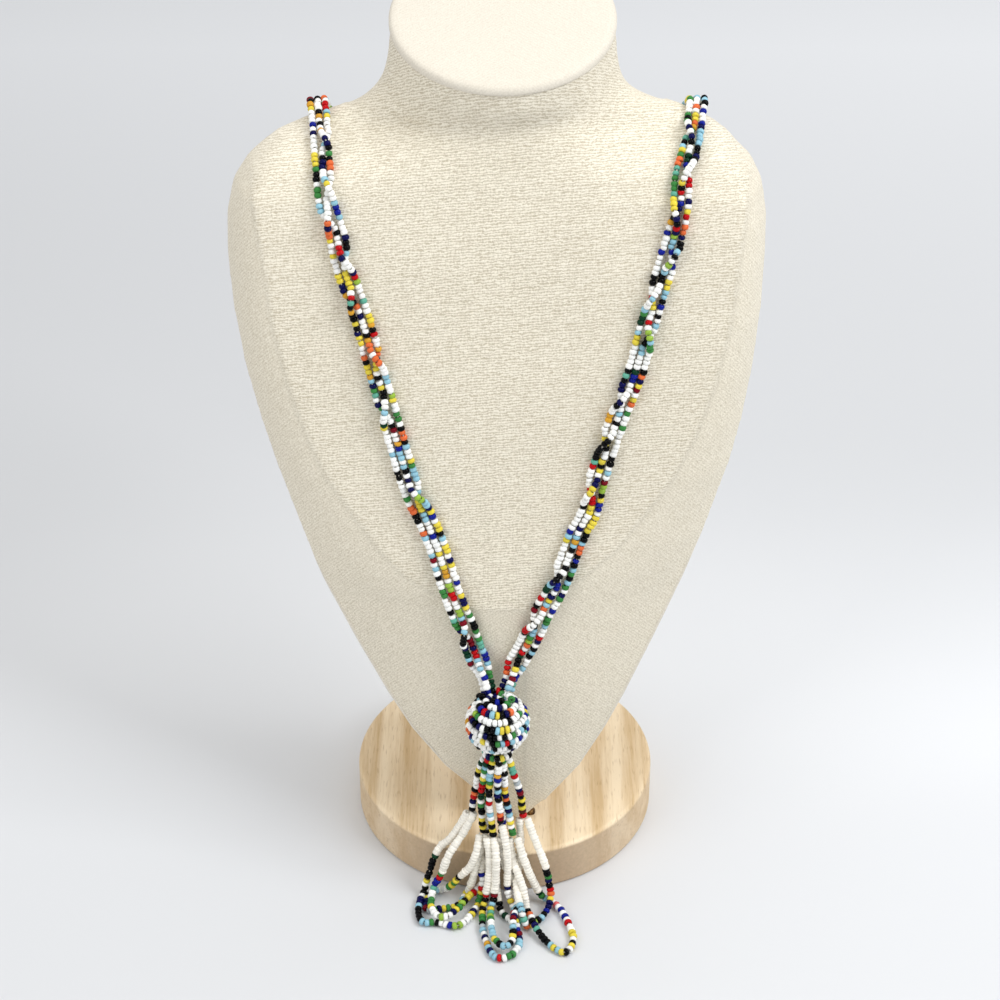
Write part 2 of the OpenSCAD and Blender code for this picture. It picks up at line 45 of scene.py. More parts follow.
viewPoint = {
    "place": (-0.002, -0.7932, 0.6861),
    "tilt": 55.79,  # degrees up from looking straight down
    "lens": 90, "sensor": 36,  # mm
}
studio = {
    "tableSize": 4, "tableTone": (0.735, 0.744, 0.762), "tableRoughness": 0.7,
    # painted light and shade on the table: how its tone changes away from the viewer: distance behind the
    # origin, m, and share of the tone
    "tablePaintedFalloff": [(-0.12, 0.95), (-0.02, 0.99), (0.05, 1.06), (0.1, 1.04), (0.16, 0.99), (0.22, 0.93),
                  (0.3, 0.91), (0.75, 1.12)],
    "tablePaintedSideLight": (0.95, 1.06), "tableReach": 0.4,  # painted side light: shares at the left and right, and how far out they are
    "airTone": (0.97, 0.985, 1.0), "air": 0.54,
    "lampsAim": (0, 0, 0.15),
}
# soft lamps: name, place, size in m, power in W, and tone
softboxes = [
    ("keyWindow", (0.95, -0.45, 1.25), 0.7, 12.6, (0.97, 0.985, 1.0)),
    ("topFill", (0.1, 0.1, 1.7), 1.2, 7.5, (1, 0.985, 0.96)),
    ("leftFill", (-0.9, -0.8, 0.9), 0.8, 5.0, (1, 0.985, 0.96)),
]


def setNode(tree, kind, sockets=None, **settings):
    made = tree.nodes.new(kind)
    for key, value in settings.items():
        setattr(made, key, value)
    for key, value in (sockets or {}).items():
        if isinstance(value, bpy.types.NodeSocket):
            tree.links.new(value, made.inputs[key])
        else:
            made.inputs[key].default_value = value
    return made


def newMaterial(name, values=None):
    material = bpy.data.materials.new(name)
    material.use_nodes = True
    shader = material.node_tree.nodes["Principled BSDF"]
    for key, value in (values or {}).items():
        shader.inputs[key].default_value = value
    return material, material.node_tree, shader


def toLinear(tone):
    # from the 0 to 255 of a colour picker
    return tuple((c / 255 / 12.92) if c <= 10 else ((c / 255 + 0.055) / 1.055) ** 2.4 for c in tone)


def objectPlace(tree):
    return setNode(tree, "ShaderNodeTexCoord").outputs["Object"]


def mathOf(tree, operation, *values):
    return setNode(tree, "ShaderNodeMath", dict(enumerate(values)), operation=operation).outputs[0]


def multiplied(tree, first, second):
    return setNode(tree, "ShaderNodeVectorMath", {0: first, 1: second}, operation="MULTIPLY").outputs[0]


def blended(tree, share, first, second):
    return setNode(tree, "ShaderNodeMix", {0: share, 2: first, 3: second}, data_type="FLOAT").outputs[0]


def blendedTone(tree, share, first, second):
    return setNode(tree, "ShaderNodeMix", {0: share, 6: first, 7: second}, data_type="RGBA").outputs[2]


def ranged(tree, value, source=(0, 1), target=(0, 1)):
    return setNode(tree, "ShaderNodeMapRange", {"Value": value, "From Min": source[0], "From Max": source[1],
                                                "To Min": target[0], "To Max": target[1]}).outputs[0]


def noiseOf(tree, vector, scale, detail, roughness=0.5):
    return setNode(tree, "ShaderNodeTexNoise", {"Vector": vector, "Scale": scale, "Detail": detail,
                                                "Roughness": roughness}).outputs["Fac"]


def rampOf(tree, value, *stops):
    made = setNode(tree, "ShaderNodeValToRGB", {"Fac": value})
    for element, (place, tone) in zip(made.color_ramp.elements, stops):
        element.position = place
        element.color = (*toLinear(tone), 1)
    return made.outputs["Color"]


def addBump(tree, shader, height, strength, depth):
    bump = setNode(tree, "ShaderNodeBump", {"Height": height, "Strength": strength, "Distance": depth * mm})
    tree.links.new(bump.outputs["Normal"], shader.inputs["Normal"])


cameraData = bpy.data.cameras.new("viewCamera")
cameraData.lens = viewPoint["lens"]
cameraData.sensor_width = viewPoint["sensor"]
camera = bpy.data.objects.new("viewCamera", cameraData)
camera.location = viewPoint["place"]
camera.rotation_euler = (math.radians(viewPoint["tilt"]), 0, 0)
bpy.context.collection.objects.link(camera)
bpy.context.scene.camera = camera
bpy.context.scene.view_settings.view_transform = "Standard"

world = bpy.data.worlds.new("paleRoom")
world.use_nodes = True
world.node_tree.nodes["Background"].inputs["Color"].default_value = (*studio["airTone"], 1)
world.node_tree.nodes["Background"].inputs["Strength"].default_value = studio["air"]
bpy.context.scene.world = world

for name, place, size, power, tone in softboxes:
    light = bpy.data.lights.new(name, "AREA")
    light.size = size
    light.energy = power
    light.color = tone
    lamp = bpy.data.objects.new(name, light)
    lamp.location = place
    lamp.rotation_euler = (Vector(studio["lampsAim"]) - lamp.location).to_track_quat("-Z", "Y").to_euler()
    bpy.context.collection.objects.link(lamp)


def tableMaterial():
    material, tree, shader = newMaterial("paleTable", {"Roughness": studio["tableRoughness"]})
    spot = setNode(tree, "ShaderNodeSeparateXYZ", {"Vector": objectPlace(tree)})
    # painted light and shade: the table's tone rises and falls with distance from the viewer
    (near, nearShare), *between, (far, farShare) = studio["tablePaintedFalloff"]
    paintedFalloff = setNode(tree, "ShaderNodeFloatCurve", {"Value": ranged(tree, spot.outputs["Y"], (near, far))})
    # a curve ends at 1, so it holds half of each share, and the sides hold twice theirs
    curve = paintedFalloff.mapping.curves[0]
    curve.points[0].location = (0, nearShare / 2)
    curve.points[1].location = (1, farShare / 2)
    for distance, share in between:
        curve.points.new((distance - near) / (far - near), share / 2)
    paintedFalloff.mapping.update()
    # painted side light: the table is darker at the left and lighter at the right
    sides = ranged(tree, spot.outputs["X"], (-studio["tableReach"], studio["tableReach"]),
                   [share * 2 for share in studio["tablePaintedSideLight"]])
    toned = multiplied(tree, studio["tableTone"], mathOf(tree, "MULTIPLY", paintedFalloff.outputs[0], sides))
    tree.links.new(toned, shader.inputs["Base Color"])
    return material


bm = bmesh.new()
bmesh.ops.create_grid(bm, x_segments=1, y_segments=1, size=studio["tableSize"])
tableMesh = bpy.data.meshes.new("tableTop")
bm.to_mesh(tableMesh)
bm.free()
tableMesh.materials.append(tableMaterial())
tableTop = bpy.data.objects.new("tableTop", tableMesh)
bpy.context.collection.objects.link(tableTop)
print("stage ready")

# effects that several finishes share


def newGroup(name, numbers, result):
    # a node group that takes a vector and some numbers, and gives one number
    group = bpy.data.node_groups.new(name, "ShaderNodeTree")
    group.interface.new_socket("Vector", in_out="INPUT", socket_type="NodeSocketVector")
    for numberName, value in numbers.items():
        socket = group.interface.new_socket(numberName, in_out="INPUT", socket_type="NodeSocketFloat")
        socket.default_value = value
    group.interface.new_socket(result, in_out="OUTPUT", socket_type="NodeSocketFloat")
    entry = group.nodes.new("NodeGroupInput")
    leave = group.nodes.new("NodeGroupOutput")
    return group, entry.outputs, leave.inputs[result]


def softDriftGroup():
    # a slow change of shade, round 1
    group, given, result = newGroup("softDrift", {"Size": 30.0, "Amount": 0.1}, "Factor")
    centred = mathOf(group, "SUBTRACT", noiseOf(group, given["Vector"], given["Size"], 3.0), 0.5)
    group.links.new(mathOf(group, "MULTIPLY_ADD", centred, given["Amount"], 1.0), result)
    return group


def clothRowsGroup():
    # wavering rows of thread, that follow the cloth up the front and back over the shoulders
    group, given, result = newGroup("clothRows", {"Pitch": 0.001, "Turn": 0.0, "Waver": 3.0}, "Height")
    turned = setNode(group, "ShaderNodeVectorRotate", {"Vector": given["Vector"], "Angle": given["Turn"]},
                     rotation_type="Y_AXIS")
    leaned = setNode(group, "ShaderNodeVectorRotate", {"Vector": turned.outputs[0], "Angle": math.pi / 6},
                     rotation_type="X_AXIS")
    perRow = mathOf(group, "DIVIDE", 0.314, given["Pitch"])  # a wave texture of scale 1 repeats every 0.314
    scaled = setNode(group, "ShaderNodeVectorMath", {0: leaned.outputs[0], "Scale": perRow},
                     operation="SCALE")
    drawnOut = multiplied(group, scaled.outputs[0], (0.4, 0.4, 1))  # the slubs are longer than high
    wave = setNode(group, "ShaderNodeTexWave",
                   {"Vector": drawnOut, "Scale": 1.0, "Distortion": given["Waver"], "Detail": 2.0,
                    "Detail Scale": 3.2}, bands_direction="Z")
    group.links.new(wave.outputs["Fac"], result)
    return group


softDrift = softDriftGroup()
clothRows = clothRowsGroup()


def drifted(tree, tone, drift):
    size, amount = drift
    made = setNode(tree, "ShaderNodeGroup", {"Vector": objectPlace(tree), "Size": size, "Amount": amount},
                   node_tree=softDrift)
    return multiplied(tree, tone, made.outputs["Factor"])


def clothRow(tree, vector, rows):
    pitch, turn, waver = rows
    made = setNode(tree, "ShaderNodeGroup", {"Vector": vector, "Pitch": pitch * mm,
                                             "Turn": math.radians(turn), "Waver": waver},
                   node_tree=clothRows)
    return made.outputs["Height"]


# linen over the bust

linenCloth = {
    "ridge": (243, 236, 219), "groove": (194, 183, 160),
    "edgeRidge": (231, 224, 210), "edgeGroove": (212, 204, 189),  # the folded edge and the cap are paler
    "grooveAt": 0.29, "ridgeAt": 0.65,  # heights that have the full tones
    # rows of thread: mm from one to the next, degrees that they rise to the right, and how much they waver
    "ribs": (1.0, 5.0, 5.5), "crossing": (1.3, 95.0, 7.0),  # the inner panel's crepe
    "twill": (1.0, -38.0, 3.5),  # on the bevelled band
    "grain": 0.5625,  # mm between the specks of loose fibre
    "crossingShare": 0.2, "panelGrain": 0.62, "bandGrain": 0.88, "bandContrast": 0.7,  # shares of the relief
    "finish": {"Roughness": 0.92, "Specular IOR Level": 0.2, "Sheen Weight": 0.15, "Sheen Roughness": 0.6},
    "drift": (22.0, 0.07), "bump": 0.3, "bumpDepth": 0.6,
    "voxel": 1.4, "smoothing": 2,
    # the neck's foot flows into the shoulders: from and to this height, and this far to each side, mm
    "neckSmoothing": 26, "neckFoot": (288, 320), "neckFootSide": 57,
    "panelLift": 0.35, "liftFrom": 290, "liftOver": 14,  # mm that the inner panel stands over the band
    "panelFade": 1.2, "creaseAt": 0.4, "creaseShade": 0.9,  # its edge is a faint crease, darkened with painted shade
    "upperFrom": 272, "upperOver": 20,  # from this height the crepe runs back over the shoulders
    "panelFacing": (-0.55, 0.15), "panelSoftness": (0.1, 0.4),  # at the front and over the shoulders
    "weltWidth": 0.7, "weltFrom": 22, "weltTo": 190, "weltTuck": 0.95, "weltTaper": 60, "weltThinnest": 0.05,
}
neckCap = {
    "diameter": 80, "left": 1, "back": 33, "height": 332, "tilt": 14,  # mm and degrees, as the bust's
    "spread": 0.35, "lift": 0.35, "depth": 3.3, "rounding": 1.3,  # mm round, over and down its rim
    "sides": 96,
}
# edge of the flat inner panel: height, left and right, mm
panelEdge = [(125, -11, 8), (131, -26, 18), (139, -38, 30), (150, -48, 42), (178, -66, 62), (195, -73, 70),
             (214, -79, 76), (236, -84, 81), (255, -86, 83), (279, -90, 86), (294, -92, 90), (340, -92, 90)]


def linenMaterial(name, ridge, groove):
    material, tree, shader = newMaterial(name, linenCloth["finish"])
    place = objectPlace(tree)
    grain = noiseOf(tree, place, 1 / (linenCloth["grain"] * mm), 1.5)
    crepe = blended(tree, linenCloth["crossingShare"], clothRow(tree, place, linenCloth["ribs"]),
                    clothRow(tree, place, linenCloth["crossing"]))
    inner = blended(tree, linenCloth["panelGrain"], crepe, grain)
    # both sides of the bevelled band have their twill falling outwards
    parts = setNode(tree, "ShaderNodeSeparateXYZ", {"Vector": place}).outputs
    mirrored = setNode(tree, "ShaderNodeCombineXYZ", {"X": mathOf(tree, "ABSOLUTE", parts["X"]),
                                                      "Y": parts["Y"], "Z": parts["Z"]})
    twill = clothRow(tree, mirrored.outputs[0], linenCloth["twill"])
    outer = mathOf(tree, "MULTIPLY_ADD", blended(tree, linenCloth["bandGrain"], twill, grain),
                   linenCloth["bandContrast"], (1 - linenCloth["bandContrast"]) / 2)
    panel = setNode(tree, "ShaderNodeAttribute", attribute_name="panel")
    height = blended(tree, panel.outputs["Fac"], outer, inner)
    tone = rampOf(tree, height, (linenCloth["grooveAt"], groove), (linenCloth["ridgeAt"], ridge))
    # painted shade: a faint dark line along the inner panel's edge darkens the cloth's colour
    crease = setNode(tree, "ShaderNodeAttribute", attribute_name="crease")
    creasePaintedShade = ranged(tree, crease.outputs["Fac"], target=(1, linenCloth["creaseShade"]))
    tree.links.new(drifted(tree, multiplied(tree, tone, creasePaintedShade), linenCloth["drift"]),
                   shader.inputs["Base Color"])
    addBump(tree, shader, height, linenCloth["bump"], linenCloth["bumpDepth"])
    return material


linen = linenMaterial("linenCloth", linenCloth["ridge"], linenCloth["groove"])
linenEdge = linenMaterial("linenEdge", linenCloth["edgeRidge"], linenCloth["edgeGroove"])


def clamped(value):
    return max(0, min(1, value))


def addPiece(name, mesh, material, slot, *nodes):
    mesh.materials.append(material)
    piece = bpy.data.objects.new(name, mesh)
    bpy.context.collection.objects.link(piece)
    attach(piece, "root")
    if nodes:
        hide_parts(*nodes)


def smoothShade(mesh):
    mesh.polygons.foreach_set("use_smooth", [True] * len(mesh.polygons))
    mesh.update()


def finalMesh(helper):
    # the helper's mesh with its modifiers or its bevel
    bpy.context.collection.objects.link(helper)
    mesh = bpy.data.meshes.new_from_object(helper.evaluated_get(bpy.context.evaluated_depsgraph_get()))
    bpy.data.objects.remove(helper)
    return mesh


def evenSkin(source, voxel):
    # one even skin over a solid, found by a voxel remesh
    bm = bmesh.new()
    bm.from_mesh(source)
    bmesh.ops.remove_doubles(bm, verts=bm.verts, dist=1e-6)
    mesh = bpy.data.meshes.new("linenSkin")
    bm.to_mesh(mesh)
    bm.free()
    helper = bpy.data.objects.new("linenSkin", mesh)
    remesh = helper.modifiers.new("evenSkin", "REMESH")
    remesh.mode = "VOXEL"
    remesh.voxel_size = voxel
    return finalMesh(helper)


def smoothVerts(bm, verts, turns):
    for turn in range(turns):
        bmesh.ops.smooth_vert(bm, verts=verts, factor=0.5, use_axis_x=True, use_axis_y=True, use_axis_z=True)


def linenSkin():
    skin = evenSkin(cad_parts["neck_bust"].data, linenCloth["voxel"] * mm)
    bm = bmesh.new()
    bm.from_mesh(skin)
    smoothVerts(bm, bm.verts, linenCloth["smoothing"])
    low, high = linenCloth["neckFoot"]
    neckFoot = [vert for vert in bm.verts
                if low < vert.co.z / mm < high and abs(vert.co.x) / mm < linenCloth["neckFootSide"]]
    smoothVerts(bm, neckFoot, linenCloth["neckSmoothing"])
    bm.normal_update()
    panelLayer = bm.verts.layers.float.new("panel")
    paintedCreaseShadeLayer = bm.verts.layers.float.new("crease")
    edgeHeights, edgeLeft, edgeRight = zip(*panelEdge)
    for vert in bm.verts:
        side, height = vert.co.x / mm, vert.co.z / mm
        inner = min(side - np.interp(height, edgeHeights, edgeLeft),
                    np.interp(height, edgeHeights, edgeRight) - side)
        upper = clamped((height - linenCloth["upperFrom"]) / linenCloth["upperOver"])
        facing, softness = (front + (over - front) * upper
                            for front, over in (linenCloth["panelFacing"], linenCloth["panelSoftness"]))
        facesFront = clamped((facing - vert.normal.y) / softness)
        panel = clamped(inner / linenCloth["panelFade"]) * facesFront if height > edgeHeights[0] else 0
        vert[panelLayer] = panel
        # the painted crease shade: strongest just inside the panel's edge, at the front
        vert[paintedCreaseShadeLayer] = math.exp(-(inner - linenCloth["creaseAt"]) ** 2) * facesFront * (1 - upper)
        lifted = clamped((linenCloth["liftFrom"] - height) / linenCloth["liftOver"])
        vert.co += vert.normal * panel * lifted * linenCloth["panelLift"] * mm
    bm.to_mesh(skin)
    bm.free()
    smoothShade(skin)
    print("linen bust", len(skin.polygons), "faces")
    return skin


def capDisc():
    # the fabric disc on the neck, with a small rolled rim that stands over the crease below it
    radius = neckCap["diameter"] / 2 + neckCap["spread"]
    lift, deep, rounding = neckCap["lift"], neckCap["depth"], neckCap["rounding"]
    outline = [(0, lift), (radius * 0.5, lift), (radius - 3.5, lift * 0.9), (radius - rounding, lift * 0.5),
               (radius - rounding * 0.35, -rounding * 0.3), (radius, -rounding), (radius, -deep * 0.75),
               (radius - 0.25, -deep * 0.95), (radius - 0.9, -deep), (radius - 3, -deep * 0.9)]
    bm = bmesh.new()
    verts = [bm.verts.new((out * mm, 0, up * mm)) for out, up in outline]
    edges = [bm.edges.new(pair) for pair in zip(verts, verts[1:])]
    bmesh.ops.spin(bm, geom=verts + edges, cent=(0, 0, 0), axis=(0, 0, 1), angle=math.tau,
                   steps=neckCap["sides"], use_merge=True, use_duplicate=False)
    bmesh.ops.remove_doubles(bm, verts=bm.verts, dist=1e-5)
    bmesh.ops.holes_fill(bm, edges=[edge for edge in bm.edges if edge.is_boundary], sides=0)
    bmesh.ops.recalc_face_normals(bm, faces=bm.faces)
    for vert in bm.verts:  # the cap leans forward with the neck
        vert.co.z += vert.co.y * math.tan(math.radians(neckCap["tilt"])) + neckCap["height"] * mm
        vert.co.x -= neckCap["left"] * mm
        vert.co.y += neckCap["back"] * mm
    mesh = bpy.data.meshes.new("neckCapCloth")
    bm.to_mesh(mesh)
    bm.free()
    smoothShade(mesh)
    return mesh


def seamLine(mesh, side, low, high):
    # the outermost point on one side at each of the bust's levels
    levels = {}
    for vert in mesh.vertices:
        level = round(vert.co.z / mm, 1)
        if low < level < high and (level not in levels or vert.co.x * side > levels[level].x * side):
            levels[level] = vert.co.copy()
    return [levels[level] for level in sorted(levels)]


def tubeAlong(name, points, radius, rounding=1, widths=()):
    curve = bpy.data.curves.new(name, "CURVE")
    curve.dimensions = "3D"
    curve.bevel_depth = radius
    curve.bevel_resolution = rounding
    curve.use_fill_caps = True
    spline = curve.splines.new("POLY")
    spline.points.add(len(points) - 1)
    for point, place in zip(spline.points, points):
        point.co = (*place, 1)
    for point, width in zip(spline.points, widths):
        point.radius = width
    return finalMesh(bpy.data.objects.new(name, curve))


def edgeWelt():
    # the cloth's folded edge, that shows as a pale line along both sides of the lower bust
    low, high = linenCloth["weltFrom"], linenCloth["weltTo"]
    bm = bmesh.new()
    for side in (-1, 1):
        points = seamLine(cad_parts["neck_bust"].data, side, low, high)
        widths = [max(linenCloth["weltThinnest"], clamped((high - point.z / mm) / linenCloth["weltTaper"]))
                  for point in points]
        for point in points:
            point.x -= side * linenCloth["weltTuck"] * mm
        bm.from_mesh(tubeAlong("weltSide", points, linenCloth["weltWidth"] * mm, 2, widths))
    mesh = bpy.data.meshes.new("edgeWelt")
    bm.to_mesh(mesh)
    bm.free()
    smoothShade(mesh)
    return mesh


addPiece("linenBust", linenSkin(), linen, "linen", "neck_bust")
addPiece("neckCapCloth", capDisc(), linenEdge, "linen")
addPiece("edgeWelt", edgeWelt(), linenEdge, "linen")

# glass beads

beadTones = {
    "w": (252, 252, 249), "i": (252, 247, 236), "k": (5, 5, 7), "n": (12, 14, 74), "b": (22, 34, 140),
    "r": (190, 20, 26), "c": (120, 14, 30), "o": (226, 110, 62), "y": (230, 210, 74), "m": (216, 160, 54),
    "g": (62, 132, 66), "d": (14, 56, 36), "l": (152, 186, 72), "s": (150, 198, 216), "t": (104, 176, 154),
    "p": (226, 104, 106), "a": (178, 186, 190), "x": (70, 34, 20),
}
# how often each colour is threaded, in about a hundred, and how many beads follow each other in one colour
threading = {"w": 37, "k": 12, "n": 7, "b": 6, "r": 4, "c": 2, "o": 2, "y": 8, "m": 2, "g": 5, "d": 2,
             "l": 2, "s": 9, "t": 2}
runLengths = [1, 1, 1, 1, 1, 1, 2, 2]
glassBead = {
    "sides": 12,
    # closed outline of half a bead, mm: along the hole and out from it
    "outline": [(-0.6, 0.42), (-0.93, 0.8), (-0.68, 1.24), (0, 1.43), (0.68, 1.24), (0.93, 0.8),
                (0.6, 0.42)],
    "sizeSpread": 0.05, "sizeLimits": (-0.1, 0.1), "lengthSpread": 0.08, "lengthLimits": (-0.15, 0.12),
    "lean": 0.13, "wander": 0.1, "shades": (0.88, 1.03),
    "finish": {"Specular IOR Level": 0.1}, "roughness": (0.06, 0.18), "drift": (900.0, 0.25),
    "dimples": 700.0, "bump": 0.1, "bumpDepth": 0.3,
    "threadRadius": 0.3, "threadTone": (0.75, 0.72, 0.65),
}


def beadMaterial():
    material, tree, shader = newMaterial("glassBeads", glassBead["finish"])
    tint = setNode(tree, "ShaderNodeAttribute", attribute_name="beadColour")
    tree.links.new(drifted(tree, tint.outputs["Color"], glassBead["drift"]), shader.inputs["Base Color"])
    dimples = noiseOf(tree, objectPlace(tree), glassBead["dimples"], 1.0)
    tree.links.new(ranged(tree, dimples, (0.3, 0.7), glassBead["roughness"]), shader.inputs["Roughness"])
    addBump(tree, shader, dimples, glassBead["bump"], glassBead["bumpDepth"])
    return material


def beadShape():
    bm = bmesh.new()
    verts = [bm.verts.new((along, out, 0)) for along, out in glassBead["outline"]]
    edges = [bm.edges.new(pair) for pair in zip(verts, verts[1:] + verts[:1])]
    bmesh.ops.spin(bm, geom=verts + edges, cent=(0, 0, 0), axis=(1, 0, 0), angle=math.tau,
                   steps=glassBead["sides"], use_merge=True, use_duplicate=False)
    bmesh.ops.remove_doubles(bm, verts=bm.verts, dist=1e-4)
    bmesh.ops.recalc_face_normals(bm, faces=bm.faces)
    places = np.array([vert.co for vert in bm.verts])
    faces = np.array([[vert.index for vert in face.verts] for face in bm.faces])
    bm.free()
    return places, faces


beadGlass = beadMaterial()
beadPlaces, beadFaces = beadShape()


def unit(vectors):
    return vectors / np.linalg.norm(vectors, axis=1)[:, None]


def joinBeads(name, centres, axes, tones, dice, size=1.0, loose=1.0):
    # one mesh of all the beads, each turned so that its hole lies along the thread
    count = len(centres)
    loose = np.broadcast_to(loose, count)[:, None]
    axes = unit(unit(axes) + dice.normal(0, glassBead["lean"], (count, 3)) * loose)
    centres = centres + dice.normal(0, glassBead["wander"], (count, 3)) * loose
    helper = np.where(np.abs(axes[:, 2:3]) < 0.8, [[0, 0, 1]], [[1, 0, 0]])
    first = unit(np.cross(axes, helper))
    second = np.cross(axes, first)
    widths = size * (1 + np.clip(dice.normal(0, glassBead["sizeSpread"], count), *glassBead["sizeLimits"]))
    lengths = 1 + np.clip(dice.normal(0, glassBead["lengthSpread"], count), *glassBead["lengthLimits"])
    along, out, up = (beadPlaces[None, :, k:k + 1] for k in range(3))
    places = (centres[:, None] + axes[:, None] * along * lengths[:, None, None]
              + (first[:, None] * out + second[:, None] * up) * widths[:, None, None])
    faces = beadFaces[None] + (np.arange(count) * len(beadPlaces))[:, None, None]
    mesh = bpy.data.meshes.new(name)
    mesh.from_pydata((places.reshape(-1, 3) * mm).tolist(), [], faces.reshape(-1, 4).tolist())
    shades = np.array([toLinear(beadTones[tone]) for tone in tones])
    colours = np.ones((count, len(beadPlaces), 4))
    colours[..., :3] = (shades * dice.uniform(*glassBead["shades"], (count, 1)))[:, None]
    layer = mesh.attributes.new("beadColour", "FLOAT_COLOR", "POINT")
    layer.data.foreach_set("color", colours.ravel())
    return mesh


def finishBeads(mesh, bm, strung, tone):
    # what was added to the bm after the beads has one tone
    bm.verts.ensure_lookup_table()
    layer = bm.verts.layers.float_color["beadColour"]
    for vert in bm.verts[strung:]:
        vert[layer] = (*tone, 1)
    bm.to_mesh(mesh)
    bm.free()
    smoothShade(mesh)
    return mesh


def withThreads(mesh, lines):
    # the threads that the beads are strung on, in the same mesh
    bm = bmesh.new()
    bm.from_mesh(mesh)
    strung = len(bm.verts)
    for line in lines:
        bm.from_mesh(tubeAlong("thread", line[::4] * mm, glassBead["threadRadius"] * mm))
    return finishBeads(mesh, bm, strung, glassBead["threadTone"])


def threadedTones(count, dice, chart=""):
    tones = list(chart[:count])
    names = list(threading)
    odds = np.array(list(threading.values())) / sum(threading.values())
    while len(tones) < count:
        tones += [str(dice.choice(names, p=odds))] * int(dice.choice(runLengths))
    return tones[:count]


def smoothLine(points, step=0.4):
    # a smooth curve through the points, as the solids' own strings run
    points = np.array(points, float)
    line = []
    for k in range(len(points) - 1):
        a, b, c, d = (points[max(0, min(len(points) - 1, k + n))] for n in (-1, 0, 1, 2))
        count = max(2, int(np.linalg.norm(c[:3] - b[:3]) / step))
        t = (np.arange(count) / count)[:, None]
        place = (b + t * (c - a) / 2 + t * t * (2 * a - 5 * b + 4 * c - d) / 2
                 + t ** 3 * (3 * b - a - 3 * c + d) / 2)
        place[:, 3:] = b[3:] + t * (c[3:] - b[3:])
        line.append(place)
    return np.vstack(line + [points[-1:]])


def runOf(line):
    return np.concatenate([[0], np.cumsum(np.linalg.norm(np.diff(line[:, :3], axis=0), axis=1))])


def placesAt(line, run, where):
    return np.stack([np.interp(where, run, line[:, k]) for k in range(3)], axis=1)


def beadsAlong(line, pitch, start=0.0, stop=None, reach=0.6):
    # centres of beads on a line, and the line's direction there, taken over the reach to both sides
    run = runOf(line)
    stop = run[-1] if stop is None else stop
    count = max(1, int(round((stop - start) / pitch)))
    where = start + (np.arange(count) + 0.5) * (stop - start) / count
    ahead = placesAt(line, run, where + reach) - placesAt(line, run, where - reach)
    return placesAt(line, run, where), ahead


def ringOf(centre, radius, height, angles):
    # places round a ring, and the directions along it
    places = np.stack([centre[0] + radius * np.cos(angles), centre[1] + radius * np.sin(angles),
                       np.full(len(angles), height)], axis=1)
    return places, np.stack([-np.sin(angles), np.cos(angles), np.zeros(len(angles))], axis=1)


# the necklace's three strings

necklace = {
    "pitch": 1.86, "lane": 3.1, "lift": 3.1,
    # the beads are a little smaller higher up, and the strings closer together
    "shoulderSize": 0.9, "shoulderLane": 0.84, "shoulderHeights": (120, 290),
    "press": 0.55,  # how far the strings settle into the cloth, mm
    "changeHalf": 5.0, "humpHalf": 8.0,
    # towards the ball the middle string rises over the others, and then these draw in
    "bunch": 8.0, "bunchEnd": 6.0, "bunchLanes": 0.55, "bunchLift": 1.03, "middleLane": 0.3,
    "firstLanes": [0, -1, 1],
    "seed": 11,
}
# middle line from the ball up the left, round the neck and down the right, mm, and the surface's turn
# and tilt there, degrees
necklaceRoute = [
    (-6.5, -51.5, 95, 0, 12), (-8, -48, 99.5, 0, 8), (-10.5, -46, 105.5, -5, 4), (-13, -45.2, 113, -5, 2),
    (-16, -45, 123, -3, 2), (-19.5, -44.2, 133, 0, 8), (-25.5, -39.5, 153.5, 0, 11), (-30, -37, 165, 0, 11),
    (-34.5, -35, 175.5, 0, 11), (-40, -31.5, 196, 0, 11), (-45.5, -27, 217.5, 0, 12),
    (-51, -22.5, 239, 0, 13), (-57.5, -17.5, 259, 0, 16), (-59.5, -14.5, 270, 0, 20),
    (-62.5, -11, 279, 0, 26), (-64, -4, 289, 0, 48), (-65, 6, 295.5, 0, 62), (-66, 15, 300, 0, 68),
    (-67, 24, 303.4, 0, 85), (-67, 29, 300.3, -5, 115), (-66, 33, 295.5, -10, 140),
    (-62.5, 35.5, 290, -20, 160), (-56, 38, 287, -20, 185), (-45, 40.5, 285.5, -15, 200),
    (-25, 43, 285, -5, 206), (0, 43.8, 285, 0, 207), (25, 43, 285, 5, 206), (45, 40.5, 285.5, 15, 200),
    (57, 38, 287.5, 20, 185), (63.5, 35.5, 291, 20, 160), (67, 33, 296.5, 10, 140), (68, 29, 301, 5, 115),
    (68.3, 24, 303.6, 0, 85), (67, 15, 299.5, 0, 68), (65.5, 6, 295.5, 0, 62),
    (62, -6, 287, 0, 44), (61, -12, 276, 0, 24), (58, -16, 264, 0, 17), (52, -21.5, 242.5, 0, 13),
    (47, -26, 221.5, 0, 12), (40, -30.5, 201.5, 0, 11), (33.5, -34.5, 179.5, 0, 11), (31, -37, 167, 0, 11),
    (26.5, -39, 157.5, 0, 11), (19.5, -43, 137.5, 0, 9), (14, -44.8, 127, 3, 3), (11, -45, 118.5, 5, 2),
    (7.5, -45.3, 110, 5, 4), (4.5, -46, 104, 5, 6), (2.5, -48, 99.5, 0, 8), (0.5, -51.5, 95, 0, 12),
]
# where one string passes over another: length from the ball, minus from the right, over, under
crossings = [(25, 1, 0), (85, 2, 1), (119, 0, 2), (140, 1, 0), (163, 2, 1), (178, 0, 2), (193, 1, 0),
             (204, 2, 1), (222, 1, 2), (-228, 2, 1), (-212, 0, 2), (-196, 1, 0), (-181, 2, 1), (-166, 2, 0),
             (-151, 0, 1), (-126, 1, 2), (-109, 2, 1), (-89, 1, 2), (-52, 2, 1), (-31, 1, 2)]


def eased(value):
    value = np.clip(value, 0, 1)
    return value * value * (3 - 2 * value)


